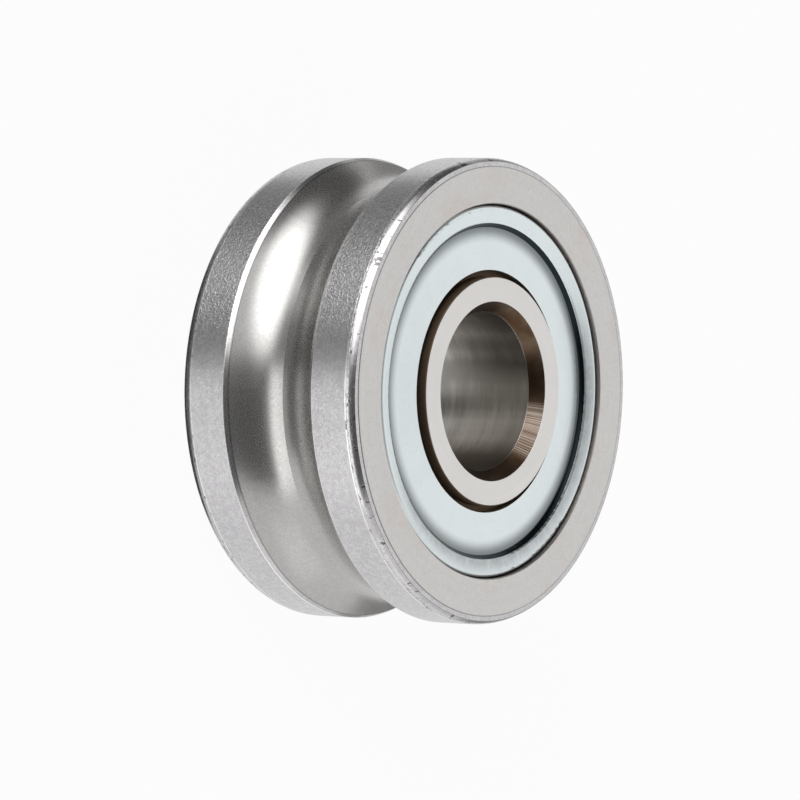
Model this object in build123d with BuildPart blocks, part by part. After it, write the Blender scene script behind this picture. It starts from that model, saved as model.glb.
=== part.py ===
# Yoke track roller. It is mounted by its bore, runs with its groove on a round steel shaft, and turns
# on two rows of angular-contact balls behind pressed sheet shields.
# Millimetres. The origin is the roller's centre, and +Z is its axis, out of the front face.
import os
from math import acos, asin, cos, radians, sin, sqrt, tan

from build123d import *

os.makedirs("parts", exist_ok=True)

# Roller
bore_diameter = 12.0
outside_diameter = 35.0
width = 15.9  # of both rings, which are flush at both ends

# Groove for the shaft: two arcs that meet in a point, so the shaft bears on both flanks
shaft_diameter = 10.0
shaft_engagement = 1.85  # how far the shaft lies below the outside diameter
groove_conformity = 0.525  # arc radius as a share of the shaft diameter
groove_contact_angle = 45.0  # from the plane of the roller to where a flank carries the shaft
groove_lip_height = 0.19  # bevel where the groove meets the outside
groove_lip_run = 0.38

# Outer ring's ends
corner_height = 0.25  # rounded corner, across the radius
corner_run = 0.79  # and along the axis
turned_land = 0.38  # turned strip between the corner and the ground face
turned_land_drop = 0.03
turned_land_rise = 0.02
edge_break = 0.08

# Rolling set
pitch_shift = 0.36  # the ball circle, outwards from halfway between the bore and the groove
ball_diameter = 4.762
ball_count = 10  # in each row
contact_angle = 30.0
raceway_conformity = 0.53  # arc radius as a share of the ball diameter
ball_clearance = 0.04
outer_shoulder_height = 0.97  # the high shoulder between the rows
outer_land_height = 0.32
inner_shoulder_height = 0.82  # the high shoulders at the ends
inner_land_height = 0.37

# Inner ring's ends
lead_in_height = 0.754
lead_in_run = 1.03
end_step = 0.935  # from the high shoulder down to the end that the shield goes round
end_length = 1.2

# Shields, measured back from the ring faces
sheet = 0.3
shield_gap = 0.513  # round the inner ring
shield_edge_recess = 0.471
valley_recess = 0.82
valley_width = 0.76
valley_radius = 5.0
valley_bend_radius = 0.72  # where the disc sweeps up into the step
step_run = 0.3
step_rise = 0.43
rim_width = 1.355
rim_slope = 13.0
bend_radius = 0.08  # inside the tightest bends of the sheet
foot_bend_radius = 0.15
rim_clearance = 0.08  # from the rim to the lip of its recess
foot_grip = 0.26  # how far the rim's foot reaches under the lip
foot_clearance = 0.06
seat_recess = 1.5
seat_width = 0.8  # shoulder that the foot stands on
lip_length = 0.85

# Cages: closed ring outboard, open snap-in pockets inboard
cage_gap = 0.46  # to the shield
cage_web = 0.8  # between the balls and the closed ring's end
pocket_clearance = 0.08
cage_inner_clearance = 0.3
cage_outer_clearance = 0.4
horn_reach = 1.0  # past the middle of the ball, so that the pocket holds it
horn_thickness = 0.45  # where the pockets come closest
horn_length = 1.9
slot_taper = 4.0  # the slots between the horns widen outwards

half_width = width / 2
outside_radius = outside_diameter / 2
ball_radius = ball_diameter / 2
pocket_radius = ball_radius + pocket_clearance
raceway_radius = raceway_conformity * ball_diameter

# The groove's arcs lie about points just past the shaft's centre, so each touches at the contact angle
groove_radius = groove_conformity * shaft_diameter
groove_slip = groove_radius - shaft_diameter / 2
groove_slip_across = groove_slip * cos(radians(groove_contact_angle))
groove_slip_along = groove_slip * sin(radians(groove_contact_angle))
shaft_axis = outside_radius - shaft_engagement + shaft_diameter / 2
groove_arc = (shaft_axis + groove_slip_across, -groove_slip_along)
groove_bottom = groove_arc[0] - sqrt(groove_radius**2 - groove_arc[1] ** 2)

# The balls run midway between the bore and the groove, but for the shift
pitch_radius = (bore_diameter / 2 + groove_bottom) / 2 + pitch_shift

# Heights above the middle plane, stacked inwards from the front face
valley_height = half_width - valley_recess
cage_top = valley_height - sheet - cage_gap
row_height = cage_top - cage_web - pocket_radius
seat_height = half_width - seat_recess

# The raceway arcs lie about points just past the ball's centre, so each touches at the contact angle
slip = raceway_radius - ball_radius - ball_clearance
slip_across = slip * cos(radians(contact_angle))
slip_along = slip * sin(radians(contact_angle))
outer_arc = (pitch_radius - slip_across, row_height + slip_along)
inner_arc = (pitch_radius + slip_across, row_height - slip_along)
outer_raceway = outer_arc[0] + raceway_radius
inner_raceway = inner_arc[0] - raceway_radius

# Radii that follow from the raceways
outer_shoulder = outer_raceway - outer_shoulder_height
outer_land = outer_raceway - outer_land_height
inner_shoulder = inner_raceway + inner_shoulder_height
inner_land = inner_raceway + inner_land_height
inner_end = inner_shoulder - end_step
foot_radius = outer_land + seat_width + foot_grip
lip_radius = foot_radius - foot_grip
rim_radius = lip_radius - rim_clearance


def save(part, name):
    """Label a finished piece and write it under its own name."""
    part.label = name
    export_step(part, f"parts/{name}.step")


def arc_height(centre, radius, side):
    """Height where a raceway arc reaches a radius, outboard (+1) or inboard (-1) of its middle."""
    return centre[1] + side * sqrt(raceway_radius**2 - (radius - centre[0]) ** 2)


def groove_flank():
    """Bottom, middle and top of one groove arc, above the middle plane."""
    bottom_turn = asin(-groove_arc[1] / groove_radius)
    top_turn = acos((groove_arc[0] - outside_radius + groove_lip_height) / groove_radius)
    points = []
    for turn in (bottom_turn, (bottom_turn + top_turn) / 2, top_turn):
        across, along = groove_radius * cos(turn), groove_radius * sin(turn)
        points.append((groove_arc[0] - across, groove_arc[1] + along))
    return points


def make_outer_ring():
    """Grooved outer ring: half its section is drawn and mirrored, then turned about the axis."""
    flank = groove_flank()
    lip = (outside_radius, flank[2][1] + groove_lip_run)
    corner = (outside_radius, half_width - corner_run)
    land_edge = (outside_radius - corner_height, half_width - turned_land_drop - turned_land_rise)
    face_edge = land_edge[0] - turned_land
    high = (outer_shoulder, arc_height(outer_arc, outer_shoulder, -1))
    low = (outer_land, arc_height(outer_arc, outer_land, 1))
    with BuildPart() as ring:
        with BuildSketch(Plane.XZ):
            with BuildLine():
                ThreePointArc(*flank)
                Polyline(flank[2], lip, corner)
                TangentArc(corner, land_edge, tangent=(0, 1))
                Polyline(
                    land_edge,
                    (face_edge, half_width - turned_land_drop),
                    (face_edge, half_width),
                    (lip_radius + edge_break, half_width),
                    (lip_radius, half_width - edge_break),
                    (lip_radius, half_width - lip_length),
                    (foot_radius + foot_clearance, half_width - lip_length - foot_grip),
                    (foot_radius + foot_clearance, seat_height),
                    (outer_land, seat_height),
                    low,
                )
                ThreePointArc(low, (outer_raceway, outer_arc[1]), high)
                Line(high, (outer_shoulder, 0))
                mirror(about=Plane.XZ)
            make_face()
        revolve(axis=Axis.Z)
    save(ring.part, "outer_ring")


def make_inner_ring():
    """Inner ring with the mounting bore: half its section is drawn and mirrored."""
    high = (inner_shoulder, arc_height(inner_arc, inner_shoulder, 1))
    low = (inner_land, arc_height(inner_arc, inner_land, -1))
    with BuildPart() as ring:
        with BuildSketch(Plane.XZ):
            with BuildLine():
                Polyline(
                    (bore_diameter / 2, 0),
                    (bore_diameter / 2, half_width - lead_in_run),
                    (bore_diameter / 2 + lead_in_height, half_width),
                    (inner_end - edge_break, half_width),
                    (inner_end, half_width - edge_break),
                    (inner_end, half_width - end_length),
                    (inner_shoulder, half_width - end_length),
                    high,
                )
                ThreePointArc(high, (inner_raceway, inner_arc[1]), low)
                Line(low, (inner_land, 0))
                mirror(about=Plane.XZ)
            make_face()
        revolve(axis=Axis.Z)
    save(ring.part, "inner_ring")


def make_shield():
    """Pressed shield: its outer surface is drawn, given the sheet's thickness and turned."""
    step_top = (rim_radius - rim_width, valley_height + step_rise)
    step_foot = (step_top[0] - step_run, valley_height)
    outer_bend = bend_radius + sheet
    with BuildPart() as shield:
        with BuildSketch(Plane.XZ):
            with BuildLine():
                surface = FilletPolyline(
                    (inner_end + shield_gap, half_width - shield_edge_recess),
                    (step_foot[0] - valley_width, valley_height),
                    step_foot,
                    step_top,
                    (rim_radius, step_top[1] + rim_width * tan(radians(rim_slope))),
                    (rim_radius, seat_height + sheet),
                    (foot_radius, seat_height + sheet),
                    radius=[
                        valley_radius, valley_bend_radius, outer_bend, outer_bend, foot_bend_radius
                    ],
                )
                offset(surface, amount=sheet, side=Side.RIGHT)
            make_face()
        revolve(axis=Axis.Z)
    return shield.part


def make_cage():
    """Moulded cage for the front row: a ring with pockets, slit between them into horns."""
    inner = inner_shoulder + cage_inner_clearance
    outer = outer_land - cage_outer_clearance
    tip = row_height - horn_reach
    slot_top = tip + horn_length
    step = 360 / ball_count
    spacing = 2 * pitch_radius * sin(radians(step / 2))
    post = spacing - 2 * pocket_radius
    spread = 2 * (pitch_radius - inner_shoulder) * tan(radians(slot_taper))
    slot_width = post - 2 * horn_thickness - spread
    with BuildPart() as cage:
        with BuildSketch(Plane.XZ):
            with Locations(((inner + outer) / 2, (tip + cage_top) / 2)):
                Rectangle(outer - inner, cage_top - tip)
        revolve(axis=Axis.Z)
        with Locations((0, 0, row_height)):
            with PolarLocations(pitch_radius, ball_count):
                Sphere(pocket_radius, mode=Mode.SUBTRACT)
        for turn in range(ball_count):
            angle = (turn + 0.5) * step
            outward = Vector(cos(radians(angle)), sin(radians(angle)), 0)
            wall = Plane(
                origin=outward * inner_shoulder, x_dir=(-outward.Y, outward.X, 0), z_dir=outward
            )
            with BuildSketch(wall):
                with Locations((0, slot_top - slot_width / 2 - horn_length)):
                    SlotCenterToCenter(2 * horn_length, slot_width, rotation=90)
            extrude(amount=outer_land - inner_shoulder, taper=-slot_taper, mode=Mode.SUBTRACT)
    return cage.part


def make_balls(side, height, first_angle):
    """One row of balls, each its own piece."""
    for number in range(ball_count):
        angle = radians(first_angle + number * 360 / ball_count)
        with BuildPart() as ball:
            with Locations((pitch_radius * cos(angle), pitch_radius * sin(angle), height)):
                Sphere(ball_radius)
        save(ball.part, f"{side}_ball_{number + 1:02d}")


# The rear shield and cage are the front ones turned over, about a line a quarter of the ball spacing
# from the first ball. The rear balls then stand opposite the gaps of the front row.
turn_over = radians(90 / ball_count)
turn_over_axis = Axis((0, 0, 0), (cos(turn_over), sin(turn_over), 0))

make_outer_ring()
make_inner_ring()
for name, piece in (("shield", make_shield()), ("cage", make_cage())):
    save(piece, f"front_{name}")
    save(piece.rotate(turn_over_axis, 180), f"rear_{name}")
make_balls("front", row_height, 0)
make_balls("rear", -row_height, 180 / ball_count)
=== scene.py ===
# Yoke track roller: its finishes, a pale floor, soft studio light and the photograph's camera.
# The roller stands on its end, so the photograph's camera lies on its side to see it on its rim.
from math import cos, pi, radians, sin

import bpy
from mathutils import Matrix, Vector


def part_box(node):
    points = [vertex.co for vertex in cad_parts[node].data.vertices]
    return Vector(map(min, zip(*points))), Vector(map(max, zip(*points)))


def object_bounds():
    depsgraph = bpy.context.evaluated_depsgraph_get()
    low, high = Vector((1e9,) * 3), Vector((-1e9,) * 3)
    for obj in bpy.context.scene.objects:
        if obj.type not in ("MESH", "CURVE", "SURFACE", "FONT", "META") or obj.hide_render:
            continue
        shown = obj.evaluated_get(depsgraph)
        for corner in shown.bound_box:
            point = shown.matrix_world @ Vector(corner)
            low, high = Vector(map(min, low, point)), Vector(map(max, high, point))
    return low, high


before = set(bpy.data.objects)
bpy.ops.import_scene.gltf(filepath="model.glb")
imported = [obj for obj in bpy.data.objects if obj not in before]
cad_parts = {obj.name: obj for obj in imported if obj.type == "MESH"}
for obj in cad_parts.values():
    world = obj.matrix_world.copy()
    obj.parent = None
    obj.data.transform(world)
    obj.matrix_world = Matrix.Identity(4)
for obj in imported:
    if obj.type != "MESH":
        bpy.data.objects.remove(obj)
cad_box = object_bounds()

MM = 0.001

# Sizes of the turned parts, in millimetres, as the model has them
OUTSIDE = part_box("outer_ring")[1][0] / MM  # radius
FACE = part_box("outer_ring")[1][2] / MM  # height of the end faces
CORNER_HEIGHT, CORNER_RUN = 0.25, 0.79
LAND = 0.38  # turned strip inside the corner
LIP_HEIGHT, LIP_RUN = 0.19, 0.38  # bevel at the mouth of the groove
LIP_EDGE = 4.1  # height where that bevel meets the outside
RECESS = 14.05  # radius of the recess for the shield
BORE, LEAD_IN = 6.0, 0.754  # radius of the bore, and how far its bevel widens it
RING_END = 8.62  # radius of the inner ring's end
STEP = 12.6  # radius where the shield steps up to its rim

# Masks by radius and height: width of their soft edges, and a length that reaches past any surface
SOFT_EDGE, FINE_EDGE = 0.02, 0.01
PAST = 1.0

# Stretches round the axis: from, to and soft edge, in radians. The photograph has 0 at its bottom
# and pi / 2 at its right.
SPECKLED = (-2.4, -1.9, 0.25)
CHATTERED = (0.8, 1.36, 0.14)
WORN_LOW, WORN_HIGH = (0.9, 1.15, 0.35), (2.1, 2.3, 0.25)
BROWNEST = (1.5, 1.75, 0.25)
# side where the shield's rim gets painted shade
RIM_SHADE_SIDE = (-0.7, 1.7, 0.6)

# Camera, fitted to the circles of the roller
LENS_PIXELS = 5929.0
IMAGE_PIXELS = 800.0
SENSOR = 36.0
DISTANCE = 449.0  # mm to the roller's centre
TILT, LEAN = radians(53.573), radians(1.648)  # of the roller's axis from the line of sight
CENTRE_RIGHT, CENTRE_DOWN = 8.08, -10.94  # the roller's centre from the picture's, in pixels

# Studio as the steel sees it: level of the room, then patches from and to a bearing, from and to a
# height, with soft edge and level. Bearings count from +X and heights from the horizon, in degrees.
# A later patch lies over an earlier one.
ROOM_LEVEL = 0.86
MIDDLE_BEARING = 225.0  # bearings run from half a turn before it to half a turn past it
STUDIO = (
    (146, 260, -70, -14, 8, 0.22),  # dark beyond the far side
    (178, 196, -50, -32, 7, 0.16),
    (143, 186, -18, 60, 10, 0.09),
    (100, 150, -66, -54, 6, 0.8),
    (266, 322, -27, -8, 8, 1.75),  # table in front, and its edge
    (266, 292, -60, -31, 5, 0.88),
    (258, 318, -6, 78, 7, 0.125),  # round the camera
    (46, 404, -90, -64, 8, 0.06),  # below
    (254, 312, -90, -51, 7, 0.13),
    (46, 404, 64, 90, 6, 0.36),  # overhead
    (50, 128, -20, 1, 7, 0.3),  # skirting of the far wall
    (210, 221, -50, -4, 10, 0.66),  # glow under the soft box
    (346, 372, -12, 14, 10, 1.05),  # far window
)
SOFT_BOX = (216.0, 6.0)  # bearing and height of the middle of the oval soft box
SOFT_BOX_REACH = (47.0, 34.0)
SOFT_BOX_FADE = (0.45, 1.03)  # shares of its reach where it starts to fade and is gone
SOFT_BOX_LEVEL = 2.9
BRIGHTEST = 10.0  # a bound on the light of the room, above all that it has

# Lamp for the shadow: direction as the picture shows it (right, down, away), then metres and watts
LAMP_DIRECTION = (-0.75, -0.85, -0.6)
LAMP_DISTANCE, LAMP_SIZE, LAMP_POWER = 0.6, 0.5, 5.0

FLOOR_HALF = 2.0  # metres
FLOOR_GLOW = 0.94  # share of plain white in what is seen of the floor


# Small helpers for building node trees


def plug(tree, socket, value):
    """Link a socket to another, or give it a plain value."""
    if isinstance(value, bpy.types.NodeSocket):
        tree.links.new(value, socket)
    else:
        socket.default_value = value


def node(tree, kind, inputs=None, **settings):
    """A node with its settings, and its inputs by name or number."""
    made = tree.nodes.new(kind)
    for name, value in settings.items():
        setattr(made, name, value)
    for name, value in (inputs or {}).items():
        plug(tree, made.inputs[name], value)
    return made


def calc(tree, operation, first, second=0.0, third=0.0, clamp=False):
    """The result of one sum."""
    made = node(tree, "ShaderNodeMath", {0: first, 1: second, 2: third}, operation=operation)
    made.use_clamp = clamp
    return made.outputs[0]


def times(tree, first, second):
    """The product of two values."""
    return calc(tree, "MULTIPLY", first, second)


def larger(tree, first, second):
    """The larger of two values."""
    return calc(tree, "MAXIMUM", first, second)


def total(tree, start, *terms):
    """A start value plus each term, which is a value and its share."""
    for value, share in terms:
        start = calc(tree, "MULTIPLY_ADD", value, share, start)
    return start


def vector_calc(tree, operation, first, second=(0.0, 0.0, 0.0)):
    """The outputs of one sum of vectors."""
    inputs = {0: first, 1: second}
    return node(tree, "ShaderNodeVectorMath", inputs, operation=operation).outputs


def vector(tree, x, y, z):
    """A vector from its three parts."""
    return node(tree, "ShaderNodeCombineXYZ", {0: x, 1: y, 2: z}).outputs[0]


def parts(tree, place):
    """The three parts of a vector."""
    return node(tree, "ShaderNodeSeparateXYZ", {0: place}).outputs


def ramp(tree, value, low, high, start=0.0, end=1.0):
    """Value taken smoothly from start to end between low and high."""
    made = node(
        tree,
        "ShaderNodeMapRange",
        {"Value": value, "From Min": low, "From Max": high, "To Min": start, "To Max": end},
        interpolation_type="SMOOTHSTEP",
    )
    return made.outputs["Result"]


def blend(tree, factor, first, second):
    """Two colours mixed by a factor."""
    made = node(tree, "ShaderNodeMix", data_type="RGBA", blend_type="MIX")
    plug(tree, made.inputs["Factor"], factor)
    for socket, colour in ((made.inputs[6], first), (made.inputs[7], second)):
        is_socket = isinstance(colour, bpy.types.NodeSocket)
        plug(tree, socket, colour if is_socket else (*colour, 1.0))
    return made.outputs[2]


def tint(tree, base, where, share, colour):
    """A base colour taken a share of the way to another, where a mask says."""
    return blend(tree, times(tree, where, share), base, colour)


def noise(tree, place, scale, detail=2.0, rough=0.5):
    """Noise from 0 to 1, at a scale for places in millimetres."""
    inputs = {"Vector": place, "Scale": scale, "Detail": detail, "Roughness": rough}
    return node(tree, "ShaderNodeTexNoise", inputs).outputs[0]


def new_group(name, inputs, outputs):
    """An empty shader group with its sockets, and the nodes that hold them."""
    tree = bpy.data.node_groups.new(name, "ShaderNodeTree")
    for label, kind, value in inputs:
        socket = tree.interface.new_socket(label, in_out="INPUT", socket_type=f"NodeSocket{kind}")
        if value is not None:
            socket.default_value = value
    for label, kind in outputs:
        tree.interface.new_socket(label, in_out="OUTPUT", socket_type=f"NodeSocket{kind}")
    given = tree.nodes.new("NodeGroupInput").outputs
    return tree, given, tree.nodes.new("NodeGroupOutput").inputs


def use(tree, group, inputs):
    """One use of a shader group, by its outputs."""
    made = node(tree, "ShaderNodeGroup", node_tree=group)
    for name, value in inputs.items():
        plug(tree, made.inputs[name], value)
    return made.outputs


# Effects that several finishes share


def turned_place_group():
    """Where a point of a turned part lies, in millimetres and radians.

    Along Turn has the direction from the axis, and then a length along the part's profile.
    """
    tree, given, out = new_group(
        "turned place",
        [("Place", "Vector", None)],
        [
            ("Place", "Vector"),
            ("Radius", "Float"),
            ("Height", "Float"),
            ("Angle", "Float"),
            ("Outward", "Vector"),
            ("Along Turn", "Vector"),
        ],
    )
    scale = (1 / MM, 1 / MM, 1 / MM)
    scaled = vector_calc(tree, "MULTIPLY", given["Place"], scale)[0]
    axes = parts(tree, scaled)
    flat = vector(tree, axes[0], axes[1], 0.0)
    radius = vector_calc(tree, "LENGTH", flat)["Value"]
    outward = vector_calc(tree, "NORMALIZE", flat)[0]
    around = parts(tree, outward)
    profile = calc(tree, "MULTIPLY_ADD", radius, 1.37, axes[2])  # so that faces and bores both vary
    plug(tree, out["Place"], scaled)
    plug(tree, out["Radius"], radius)
    plug(tree, out["Height"], calc(tree, "ABSOLUTE", axes[2]))
    plug(tree, out["Angle"], calc(tree, "ARCTAN2", around[1], around[0]))
    plug(tree, out["Outward"], outward)
    plug(tree, out["Along Turn"], vector(tree, around[0], around[1], profile))
    return tree


def band_group():
    """Mask of a band between two values, with soft edges."""
    tree, given, out = new_group(
        "band",
        [
            ("Value", "Float", 0.0),
            ("From", "Float", 0.0),
            ("To", "Float", 1.0),
            ("Edge", "Float", SOFT_EDGE),
        ],
        [("Mask", "Float")],
    )
    low = calc(tree, "SUBTRACT", given["From"], given["Edge"])
    high = calc(tree, "ADD", given["To"], given["Edge"])
    rise = ramp(tree, given["Value"], low, given["From"])
    fall = ramp(tree, given["Value"], given["To"], high, 1.0, 0.0)
    plug(tree, out["Mask"], times(tree, rise, fall))
    return tree


def grinding_group():
    """Fine lines that run round a turned part, as a height and a mask, from 0 to 1."""
    tree, given, out = new_group(
        "grinding lines",
        [("Along Turn", "Vector", None), ("Lines per mm", "Float", 9.0), ("Streak", "Float", 3.0)],
        [("Height", "Float"), ("Streaks", "Float")],
    )
    stretch = vector(tree, given["Streak"], given["Streak"], given["Lines per mm"])
    place = vector_calc(tree, "MULTIPLY", given["Along Turn"], stretch)[0]
    fine = noise(tree, place, 1.0, detail=3.0, rough=0.7)
    coarse = noise(tree, place, 0.23)
    plug(tree, out["Height"], fine)
    plug(tree, out["Streaks"], total(tree, 0.0, (fine, 0.4), (coarse, 0.6)))
    return tree


def scratches_group():
    """Thin straight scratches in three directions, from 0 to 1."""
    tree, given, out = new_group(
        "scratches",
        [("Place", "Vector", None), ("Scale", "Float", 1.0), ("Amount", "Float", 0.5)],
        [("Mask", "Float")],
    )
    scratched = 0.0
    for turn, shift in ((0.35, 0.0), (1.5, 7.0), (2.6, 13.0)):
        mapping = {
            "Vector": given["Place"],
            "Rotation": (0.0, 0.0, turn),
            "Location": (shift, 0, 0),
        }
        turned = node(tree, "ShaderNodeMapping", mapping).outputs[0]
        thin = vector_calc(tree, "MULTIPLY", turned, (0.35, 14.0, 14.0))[0]
        lines = noise(tree, thin, given["Scale"], detail=1.0)
        scratched = calc(tree, "ADD", scratched, ramp(tree, lines, 0.66, 0.74))
    plug(tree, out["Mask"], calc(tree, "MULTIPLY", scratched, given["Amount"], clamp=True))
    return tree


def nicks_group():
    """Small pits and dents of uneven size, from 0 to 1."""
    tree, given, out = new_group(
        "nicks",
        [("Place", "Vector", None), ("Size", "Float", 2.0), ("Amount", "Float", 0.5)],
        [("Mask", "Float")],
    )
    lumps = noise(tree, given["Place"], given["Size"], detail=4.0, rough=0.65)
    patches = noise(tree, given["Place"], 0.35, detail=1.0)
    limit = total(tree, 0.74, (given["Amount"], -0.16), (patches, -0.12))
    plug(tree, out["Mask"], ramp(tree, calc(tree, "SUBTRACT", lumps, limit), 0.0, 0.05))
    return tree


turned_place = turned_place_group()
band = band_group()
grinding = grinding_group()
scratches = scratches_group()
nicks = nicks_group()


# Finishes


def start_material(name):
    """A material with one Principled surface, and the place of its points on a turned part."""
    material = bpy.data.materials.new(name)
    material.use_nodes = True
    tree = material.node_tree
    place = node(tree, "ShaderNodeTexCoord").outputs["Object"]
    return material, tree, use(tree, turned_place, {"Place": place})


def set_surface(tree, colour, roughness, normal=None, metallic=1.0):
    """Give the Principled surface its colour, roughness and normals."""
    sockets = tree.nodes["Principled BSDF"].inputs
    plug(tree, sockets["Base Color"], colour)
    plug(tree, sockets["Metallic"], metallic)
    plug(tree, sockets["Roughness"], roughness)
    if normal is not None:
        plug(tree, sockets["Normal"], normal)


def mask(tree, value, low, high, edge=SOFT_EDGE):
    """Mask of a band of radius, height or angle."""
    return use(tree, band, {"Value": value, "From": low, "To": high, "Edge": edge})["Mask"]


def bump(tree, height, strength, depth, normal=None):
    """Normals from a height from 0 to 1 that stands for a depth in millimetres."""
    inputs = {"Height": height, "Strength": strength, "Distance": depth * MM}
    if normal is not None:
        inputs["Normal"] = normal
    return node(tree, "ShaderNodeBump", inputs).outputs["Normal"]


def ground_height(tree, lines, marks, face, scratch_depth):
    """Height of the grinding lines off the end faces and of the scratches on them."""
    lay = times(tree, lines["Height"], calc(tree, "SUBTRACT", 1.0, face))
    return calc(tree, "ADD", lay, times(tree, marks, times(tree, face, -scratch_depth)))


def outer_ring_zones(tree, at):
    """Masks of the outer ring's surfaces, and of the lines where they meet."""
    radius, height = at["Radius"], at["Height"]
    lip_foot = OUTSIDE - LIP_HEIGHT  # radius and height where the lip's bevel meets the groove
    groove_mouth = LIP_EDGE - LIP_RUN
    corner_foot = OUTSIDE - CORNER_HEIGHT  # radius where the corner meets the turned strip
    corner_start = FACE - CORNER_RUN  # height where the corner leaves the outside
    at_face = mask(tree, height, FACE - 0.015, FACE + PAST, FINE_EDGE)
    corner = times(
        tree,
        mask(tree, radius, corner_foot, OUTSIDE - 0.004, 0.006),
        mask(tree, height, corner_start, FACE - 0.03),
    )
    # band of painted shade on the inner part of the corner, which narrows its highlight
    corner_shade_band = mask(tree, radius, corner_foot, OUTSIDE - 0.55 * CORNER_HEIGHT, 0.03)
    strip_lines = larger(
        tree,
        mask(tree, radius, corner_foot - 0.035, corner_foot),
        mask(tree, radius, corner_foot - LAND - 0.05, corner_foot - LAND + 0.01),
    )
    lip_line = times(
        tree,
        mask(tree, radius, lip_foot - 0.03, lip_foot + 0.02),
        mask(tree, height, -PAST, groove_mouth + 0.06),
    )
    at_ends = mask(tree, height, FACE - 0.12, FACE + PAST)
    # heights of a painted highlight along the outside's edges at the lip and the corner
    edge_highlight_heights = larger(
        tree,
        mask(tree, height, LIP_EDGE - 0.05, LIP_EDGE + 0.02),
        mask(tree, height, corner_start - 0.03, corner_start + 0.04),
    )
    return {
        "face": times(tree, at_face, mask(tree, radius, RECESS + 0.09, OUTSIDE)),
        "outside": mask(tree, radius, OUTSIDE - 0.012, OUTSIDE + PAST, FINE_EDGE),
        "groove": times(
            tree,
            mask(tree, radius, RECESS + 0.8, lip_foot - 0.005, FINE_EDGE),
            mask(tree, height, -PAST, groove_mouth, FINE_EDGE),
        ),
        "lip": times(
            tree,
            mask(tree, radius, lip_foot, OUTSIDE - 0.014, FINE_EDGE),
            mask(tree, height, -PAST, LIP_EDGE + 0.02),
        ),
        "corner": corner,
        "painted corner shade": times(tree, corner_shade_band, corner),
        "recess": mask(tree, radius, 0.0, RECESS + 0.05, 0.03),
        "tool lines": larger(tree, times(tree, strip_lines, at_ends), lip_line),
        "painted edge highlight": times(
            tree,
            mask(tree, radius, OUTSIDE - 0.04, OUTSIDE + PAST, FINE_EDGE),
            edge_highlight_heights,
        ),
    }


def outer_ring_steel():
    """Hardened steel: ground outside, groove and faces, nicked corners and a dull recess. Painted
    shade darkens the groove in part, the lip and the inner part of each corner, and a painted
    highlight lines edges of the outside.
    """
    material, tree, at = start_material("outer ring steel")
    place, along = at["Place"], at["Along Turn"]
    on = outer_ring_zones(tree, at)
    lines = use(tree, grinding, {"Along Turn": along, "Lines per mm": 7.0, "Streak": 2.5})
    marks = use(tree, scratches, {"Place": place, "Scale": 1.0, "Amount": 0.5})["Mask"]
    drawn_out = vector_calc(tree, "MULTIPLY", along, (6.5, 6.5, 1.0))[0]
    dents = use(tree, nicks, {"Place": drawn_out, "Size": 3.4, "Amount": 0.6})["Mask"]
    cloud = noise(tree, place, 0.16, detail=3.0)
    mottle = noise(tree, place, 2.2, detail=4.0, rough=0.6)
    grain = noise(tree, place, 5.5, rough=0.65)
    speck = noise(tree, place, 6.5, rough=0.7)
    stain = ramp(tree, noise(tree, place, 0.33, detail=3.0, rough=0.6), 0.52, 0.68)

    speckled = mask(tree, at["Angle"], *SPECKLED)
    speckled = larger(tree, speckled, ramp(tree, cloud, 0.6, 0.75, 0.0, 0.3))
    speckled = times(tree, speckled, on["outside"])
    grains = times(tree, speckled, ramp(tree, grain, 0.42, 0.62, 0.0, 0.62))
    off_face = total(tree, 1.0, (on["face"], -0.65))
    grit = times(tree, ramp(tree, speck, 0.35, 0.75, 0.0, 0.5), off_face)

    steel = blend(tree, cloud, (0.72, 0.71, 0.73), (0.84, 0.83, 0.84))
    steel = blend(tree, ramp(tree, mottle, 0.3, 0.7, 0.1, 0.65), steel, (0.55, 0.535, 0.555))
    steel = blend(tree, grains, steel, (0.33, 0.32, 0.315))
    # The groove is darker than the outside: its own ground finish, and in part painted shade in the
    # groove
    groove_steel_and_shade = blend(tree, mottle, (0.45, 0.44, 0.425), (0.6, 0.59, 0.575))
    steel = blend(tree, on["groove"], steel, groove_steel_and_shade)
    face_steel = blend(tree, mottle, (0.76, 0.744, 0.725), (0.825, 0.81, 0.79))
    face_steel = tint(tree, face_steel, stain, 0.35, (0.76, 0.66, 0.61))
    steel = blend(tree, on["face"], steel, face_steel)
    for where, share, colour in (
        (lines["Streaks"], 0.22, (0.4, 0.39, 0.385)),
        (grit, 1.0, (0.4, 0.39, 0.385)),
        # painted shade on the lip's bevel, dimming its reflection
        (on["lip"], 0.25, (0.34, 0.325, 0.32)),
        # painted shade on the inner part of each corner
        (on["painted corner shade"], 0.3, (0.24, 0.23, 0.225)),
        (on["tool lines"], 0.6, (0.2, 0.19, 0.185)),
        # painted highlight: thin light lines along the outside's edges
        (on["painted edge highlight"], 0.8, (0.97, 0.96, 0.955)),
        (times(tree, dents, on["corner"]), 0.85, (0.08, 0.075, 0.07)),
        (on["recess"], 0.85, (0.38, 0.34, 0.315)),
    ):
        steel = tint(tree, steel, where, share, colour)

    rough = total(
        tree,
        0.16,
        (on["face"], 0.22),
        (on["outside"], 0.06),
        (on["groove"], 0.03),
        (on["recess"], 0.16),
        (speck, 0.14),
    )
    normal = bump(tree, ground_height(tree, lines, marks, on["face"], 0.8), 0.5, 0.0025)
    pits = times(tree, dents, total(tree, 0.05, (on["corner"], 1.0)))
    normal = bump(tree, times(tree, pits, -1.0), 0.7, 0.012, normal)
    normal = bump(tree, times(tree, mottle, on["outside"]), 0.7, 0.015, normal)
    normal = bump(tree, times(tree, grain, speckled), 1.0, 0.05, normal)
    set_surface(tree, steel, rough, normal)
    return material


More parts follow.
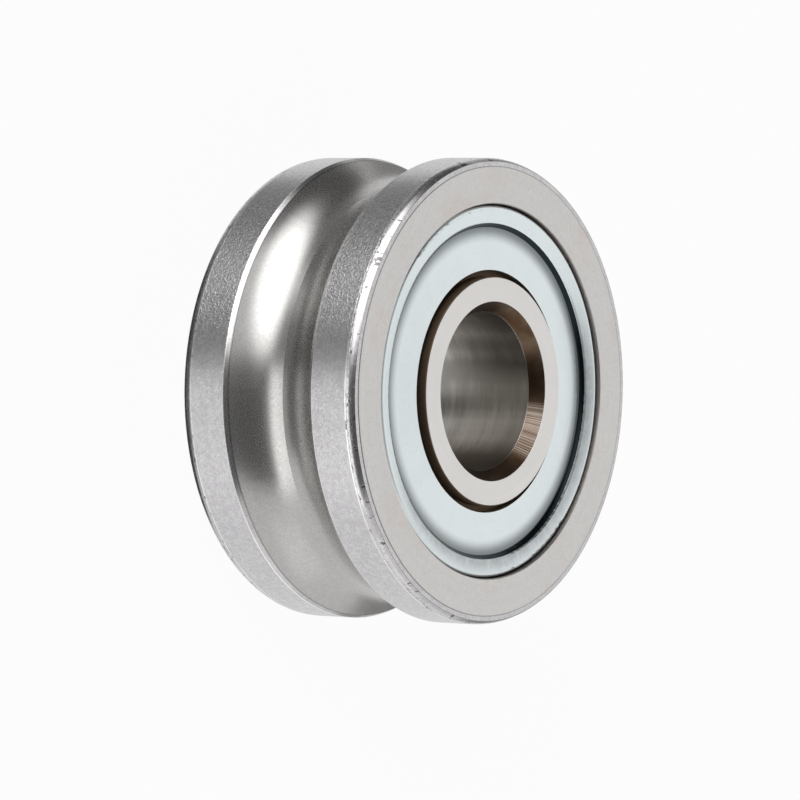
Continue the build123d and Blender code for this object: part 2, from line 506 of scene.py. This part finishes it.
def inner_ring_steel():
    """Hardened steel: ground face and bore, and lead-ins and ends browned by heat. Painted shade
    darkens the bore and lead-in towards the bottom.
    """
    material, tree, at = start_material("inner ring steel")
    place, radius, angle = at["Place"], at["Radius"], at["Angle"]
    lines = use(
        tree, grinding, {"Along Turn": at["Along Turn"], "Lines per mm": 5.0, "Streak": 3.5}
    )
    marks = use(tree, scratches, {"Place": place, "Scale": 1.2, "Amount": 0.4})["Mask"]
    cloud = noise(tree, place, 0.3, detail=3.0)
    mottle = noise(tree, place, 1.8, detail=4.0)

    face = mask(tree, at["Height"], FACE - 0.015, FACE + PAST, FINE_EDGE)
    off_face = calc(tree, "SUBTRACT", 1.0, face)
    bore = mask(tree, radius, 0.0, BORE + 0.006, FINE_EDGE)
    lead_in = times(tree, mask(tree, radius, BORE + 0.012, BORE + LEAD_IN, FINE_EDGE), off_face)
    end = times(tree, mask(tree, radius, RING_END - 0.09, 12.0), off_face)

    # Chatter marks across the lead-in and scores in the bore beside them
    chattered = mask(tree, angle, *CHATTERED)
    chatter = ramp(tree, noise(tree, at["Outward"], 85.0, rough=0.6), 0.38, 0.68)
    chatter = times(tree, chatter, times(tree, chattered, lead_in))
    scored = times(tree, ramp(tree, lines["Height"], 0.5, 0.68), times(tree, chattered, bore))

    worn = larger(tree, mask(tree, angle, *WORN_LOW), mask(tree, angle, *WORN_HIGH))
    bands = noise(tree, at["Outward"], 1.7, detail=3.0)
    wear = total(tree, 0.0, (lines["Streaks"], 0.5), (worn, 0.28), (bands, 0.8))
    bore_steel = blend(tree, ramp(tree, wear, 0.62, 1.05), (0.42, 0.4, 0.37), (0.86, 0.83, 0.79))
    heat = blend(tree, ramp(tree, cloud, 0.35, 0.65), (0.088, 0.052, 0.03), (0.22, 0.165, 0.12))
    heat = tint(tree, heat, mask(tree, angle, *BROWNEST), 0.5, (0.05, 0.028, 0.016))
    heat = blend(tree, end, heat, (0.17, 0.12, 0.082))
    # Painted shade: the bore and the lead-in darken towards the bottom, nearly to black
    painted_shade_below = ramp(tree, calc(tree, "ABSOLUTE", angle), 0.35, 1.05, 0.68, 0.0)
    painted_shade_below = times(tree, painted_shade_below, larger(tree, bore, lead_in))

    steel = blend(tree, cloud, (0.86, 0.842, 0.822), (0.91, 0.892, 0.872))
    steel = tint(tree, steel, lines["Streaks"], 0.2, (0.42, 0.39, 0.365))
    steel = blend(tree, bore, steel, bore_steel)
    steel = tint(tree, steel, scored, 0.6, (0.66, 0.62, 0.58))
    steel = blend(tree, larger(tree, lead_in, end), steel, heat)
    steel = tint(tree, steel, chatter, 0.7, (0.62, 0.53, 0.46))
    steel = blend(tree, painted_shade_below, steel, (0.07, 0.04, 0.022))

    rough = total(tree, 0.27, (face, 0.12), (end, 0.3), (mottle, 0.1))
    normal = bump(tree, ground_height(tree, lines, marks, face, 0.6), 0.5, 0.0035)
    set_surface(tree, steel, rough, bump(tree, chatter, 0.4, 0.02, normal))
    return material


def zinc_sheet():
    """Bright zinc plating: pale, bluish and satin, faintly clouded, with a few fine scuffs.

    Painted shade darkens the disc up to the shield's step and its wall, and the rim past the step
    on one side.
    """
    material, tree, at = start_material("zinc-plated sheet")
    place, radius = at["Place"], at["Radius"]
    cloud = noise(tree, place, 0.45, detail=3.0)
    grain = noise(tree, place, 9.0, detail=3.0, rough=0.6)
    marks = use(tree, scratches, {"Place": place, "Scale": 0.8, "Amount": 0.5})["Mask"]

    rim = mask(tree, radius, STEP + 0.02, 20.0, 0.05)
    # Painted shade: the rim past the step darkens on one side, most near the step, in blotches
    dull = times(tree, rim, ramp(tree, radius, STEP + 0.1, STEP + 1.25, 0.62, 0.12))
    blotches = ramp(tree, noise(tree, place, 1.6, detail=3.0), 0.3, 0.6, 0.75, 1.0)
    dull = times(tree, times(tree, dull, blotches), mask(tree, at["Angle"], *RIM_SHADE_SIDE))
    disc = mask(tree, radius, 0.0, STEP)
    # Painted shade: the disc darkens as it rises to the step, and the step's wall is painted nearly
    # black
    painted_sweep_shade = times(tree, ramp(tree, radius, STEP - 1.5, STEP - 0.3, 0.0, 0.72), disc)
    wall = times(tree, ramp(tree, radius, STEP - 0.4, STEP - 0.27, 0.0, 0.985), disc)

    zinc = blend(tree, cloud, (0.77, 0.84, 0.855), (0.85, 0.908, 0.918))
    zinc = tint(tree, zinc, marks, 0.3, (0.5, 0.56, 0.58))
    zinc = blend(tree, dull, zinc, (0.26, 0.27, 0.275))
    zinc = blend(tree, larger(tree, painted_sweep_shade, wall), zinc, (0.009, 0.017, 0.021))
    set_surface(tree, zinc, total(tree, 0.2, (grain, 0.08)), bump(tree, grain, 0.12, 0.002))
    return material


def ball_steel():
    """Polished ball steel with the faintest haze."""
    material, tree, at = start_material("ball steel")
    haze = noise(tree, at["Place"], 1.5, detail=4.0)
    steel = blend(tree, haze, (0.66, 0.66, 0.67), (0.72, 0.72, 0.73))
    set_surface(tree, steel, total(tree, 0.04, (haze, 0.05)))
    return material


def cage_plastic():
    """Moulded cage plastic: ivory, satin, with a fine skin."""
    material, tree, at = start_material("cage plastic")
    cloud = noise(tree, at["Place"], 0.5, detail=3.0)
    skin = noise(tree, at["Place"], 6.0, detail=3.0)
    ivory = blend(tree, cloud, (0.62, 0.54, 0.38), (0.7, 0.62, 0.46))
    rough = total(tree, 0.42, (skin, 0.15))
    set_surface(tree, ivory, rough, bump(tree, skin, 0.3, 0.01), metallic=0.0)
    return material


def dress_nodes():
    """Give each CAD piece its finish."""
    finishes = {
        "outer_ring": outer_ring_steel(),
        "inner_ring": inner_ring_steel(),
        "shield": zinc_sheet(),
        "cage": cage_plastic(),
        "ball": ball_steel(),
    }
    for name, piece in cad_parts.items():
        kind = next(k for k in finishes if k in name)
        piece.data.materials.clear()
        piece.data.materials.append(finishes[kind])


# Floor, light and camera


def make_floor():
    """Pale floor under the roller. It shows white, and keeps the roller's soft shadow."""
    material = bpy.data.materials.new("floor")
    material.use_nodes = True
    tree = material.node_tree
    tree.nodes.clear()
    paint = node(tree, "ShaderNodeBsdfDiffuse", {"Color": (0.95, 0.95, 0.95, 1.0)}).outputs[0]
    white = {"Color": (1.0, 1.0, 1.0, 1.0), "Strength": 1.0}
    glow = node(tree, "ShaderNodeEmission", white).outputs[0]
    path = node(tree, "ShaderNodeLightPath").outputs
    seen = larger(tree, path["Is Camera Ray"], path["Is Glossy Ray"])
    share = times(tree, larger(tree, seen, path["Is Transmission Ray"]), FLOOR_GLOW)
    mixed = node(tree, "ShaderNodeMixShader", {0: share, 1: paint, 2: glow}).outputs[0]
    node(tree, "ShaderNodeOutputMaterial", {"Surface": mixed})
    level = cad_box[0][2]
    square = ((-1, -1), (1, -1), (1, 1), (-1, 1))
    corners = [(FLOOR_HALF * x, FLOOR_HALF * y, level) for x, y in square]
    mesh = bpy.data.meshes.new("floor")
    mesh.from_pydata(corners, [], [(0, 1, 2, 3)])
    mesh.materials.append(material)
    floor = bpy.data.objects.new("floor", mesh)
    floor.visible_glossy = False
    bpy.context.scene.collection.objects.link(floor)


def camera_axes():
    """The picture's right, down and away, in the roller's frame."""
    right = Vector((-sin(LEAN), cos(TILT) * cos(LEAN), sin(TILT) * cos(LEAN)))
    down = Vector((cos(LEAN), cos(TILT) * sin(LEAN), sin(TILT) * sin(LEAN)))
    away = Vector((0.0, sin(TILT), -cos(TILT)))
    return right, down, away


def soft_box_light(tree, bearing, height):
    """How far the soft box lights a direction, from 0 to 1."""
    offsets = []
    for value, middle, reach in zip((bearing, height), SOFT_BOX, SOFT_BOX_REACH):
        offsets.append(calc(tree, "DIVIDE", calc(tree, "SUBTRACT", value, middle), reach))
    across, along = offsets
    away = calc(tree, "MULTIPLY_ADD", across, across, times(tree, along, along))
    return ramp(tree, calc(tree, "SQRT", away), *SOFT_BOX_FADE, 1.0, 0.0)


def make_world():
    """Soft studio: a pale room with one broad soft box, and darkness round the camera and below.

    The camera itself sees plain white.
    """
    world = bpy.data.worlds.new("studio")
    bpy.context.scene.world = world
    world.use_nodes = True
    world.cycles.sampling_method = "NONE"
    tree = world.node_tree
    tree.nodes.clear()
    looking = node(tree, "ShaderNodeTexCoord").outputs["Generated"]
    middle = radians(MIDDLE_BEARING)
    ahead = vector_calc(tree, "DOT_PRODUCT", looking, (cos(middle), sin(middle), 0))["Value"]
    aside = vector_calc(tree, "DOT_PRODUCT", looking, (-sin(middle), cos(middle), 0))["Value"]
    bearing = calc(tree, "ARCTAN2", aside, ahead)
    bearing = calc(tree, "MULTIPLY_ADD", bearing, 180 / pi, MIDDLE_BEARING)
    height = times(tree, calc(tree, "ARCSINE", parts(tree, looking)[2]), 180 / pi)
    level = ROOM_LEVEL
    for start, end, low, high, edge, light in STUDIO:
        across = mask(tree, bearing, start, end, edge)
        patch = times(tree, across, mask(tree, height, low, high, edge))
        level = total(tree, level, (patch, calc(tree, "SUBTRACT", light, level)))
    box = soft_box_light(tree, bearing, height)
    level = total(tree, level, (box, calc(tree, "SUBTRACT", SOFT_BOX_LEVEL, level)))
    seen = node(tree, "ShaderNodeLightPath").outputs["Is Camera Ray"]
    level = larger(tree, level, seen)
    level = calc(tree, "MINIMUM", level, total(tree, BRIGHTEST, (seen, 1.0 - BRIGHTEST)))
    white = {"Color": (1.0, 1.0, 1.0, 1.0), "Strength": level}
    light = node(tree, "ShaderNodeBackground", white).outputs[0]
    node(tree, "ShaderNodeOutputWorld", {"Surface": light})


def make_lamp():
    """A square soft lamp that faces the roller. The steel doesn't reflect it."""
    lamp = bpy.data.lights.new("key", "AREA")
    lamp.size = LAMP_SIZE
    lamp.energy = LAMP_POWER
    holder = bpy.data.objects.new("key", lamp)
    right, down, away = (axis * share for axis, share in zip(camera_axes(), LAMP_DIRECTION))
    place = (right + down + away).normalized() * LAMP_DISTANCE
    turn = place.to_track_quat("Z", "Y").to_matrix().to_4x4()
    holder.matrix_world = Matrix.Translation(place) @ turn
    holder.visible_glossy = False
    bpy.context.scene.collection.objects.link(holder)


def make_camera():
    """The photograph's camera."""
    right, down, away = camera_axes()
    scale = DISTANCE / LENS_PIXELS
    centre = right * (CENTRE_RIGHT * scale) + down * (CENTRE_DOWN * scale) + away * DISTANCE
    lens = bpy.data.cameras.new("camera")
    lens.sensor_width = SENSOR
    lens.lens = LENS_PIXELS / IMAGE_PIXELS * SENSOR
    lens.clip_start = 0.01
    camera = bpy.data.objects.new("camera", lens)
    turned = Matrix((right, -down, -away)).transposed().to_4x4()
    camera.matrix_world = Matrix.Translation(-centre * MM) @ turned
    bpy.context.scene.collection.objects.link(camera)
    bpy.context.scene.camera = camera


dress_nodes()
make_floor()
make_world()
make_lamp()
make_camera()
bpy.context.scene.view_settings.view_transform = "Standard"
